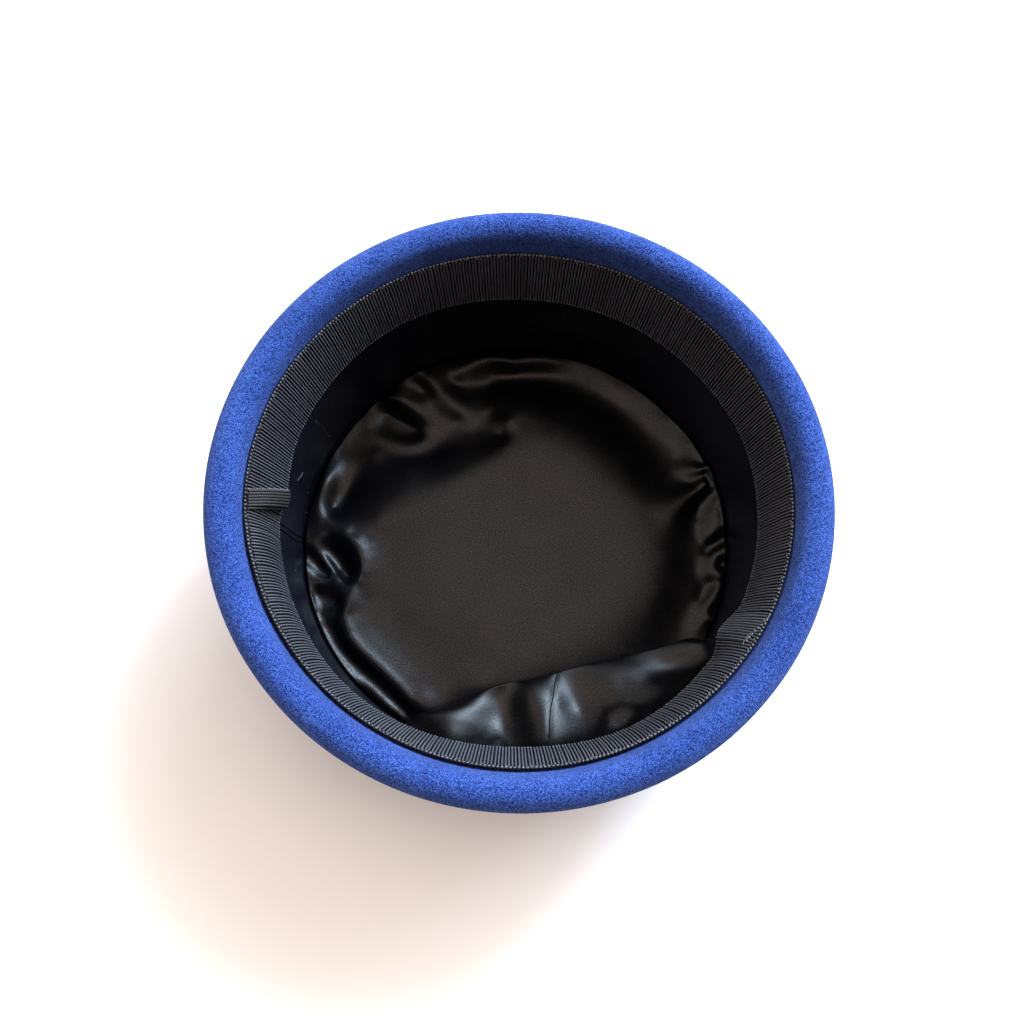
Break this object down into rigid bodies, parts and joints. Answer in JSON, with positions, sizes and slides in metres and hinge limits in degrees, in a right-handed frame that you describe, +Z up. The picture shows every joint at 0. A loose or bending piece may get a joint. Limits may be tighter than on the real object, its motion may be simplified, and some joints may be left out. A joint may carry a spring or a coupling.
{
  "type": "pillbox hat",
  "caption": "Oval felt pillbox hat lying crown down, with a rolled edge, a ribbed ribbon headband, a back tab and a gathered satin lining, open for a head.",
  "frame": {"origin": "centre of the flat crown tip's outside, on the surface that the hat lies on", "axes": "+Z up along the hat's axis, out of the head opening; +X along the longer axis of the oval, away from the ribbon's tab at the back"},
  "size_m": [0.2018, 0.1978, 0.0859],
  "materials": {
    "felt": "matte short-napped wool felt",
    "grosgrain": "cross-ribbed ribbon, soft sheen",
    "side_cloth": "dark lining cloth, low sheen",
    "satin": "glossy black satin"
  },
  "bodies": {
    "root": {"felt_shell": "felt", "headband": "grosgrain", "band_tab": "grosgrain", "side_lining": "side_cloth", "tip_lining": "satin"}
  },
  "joints": []
}
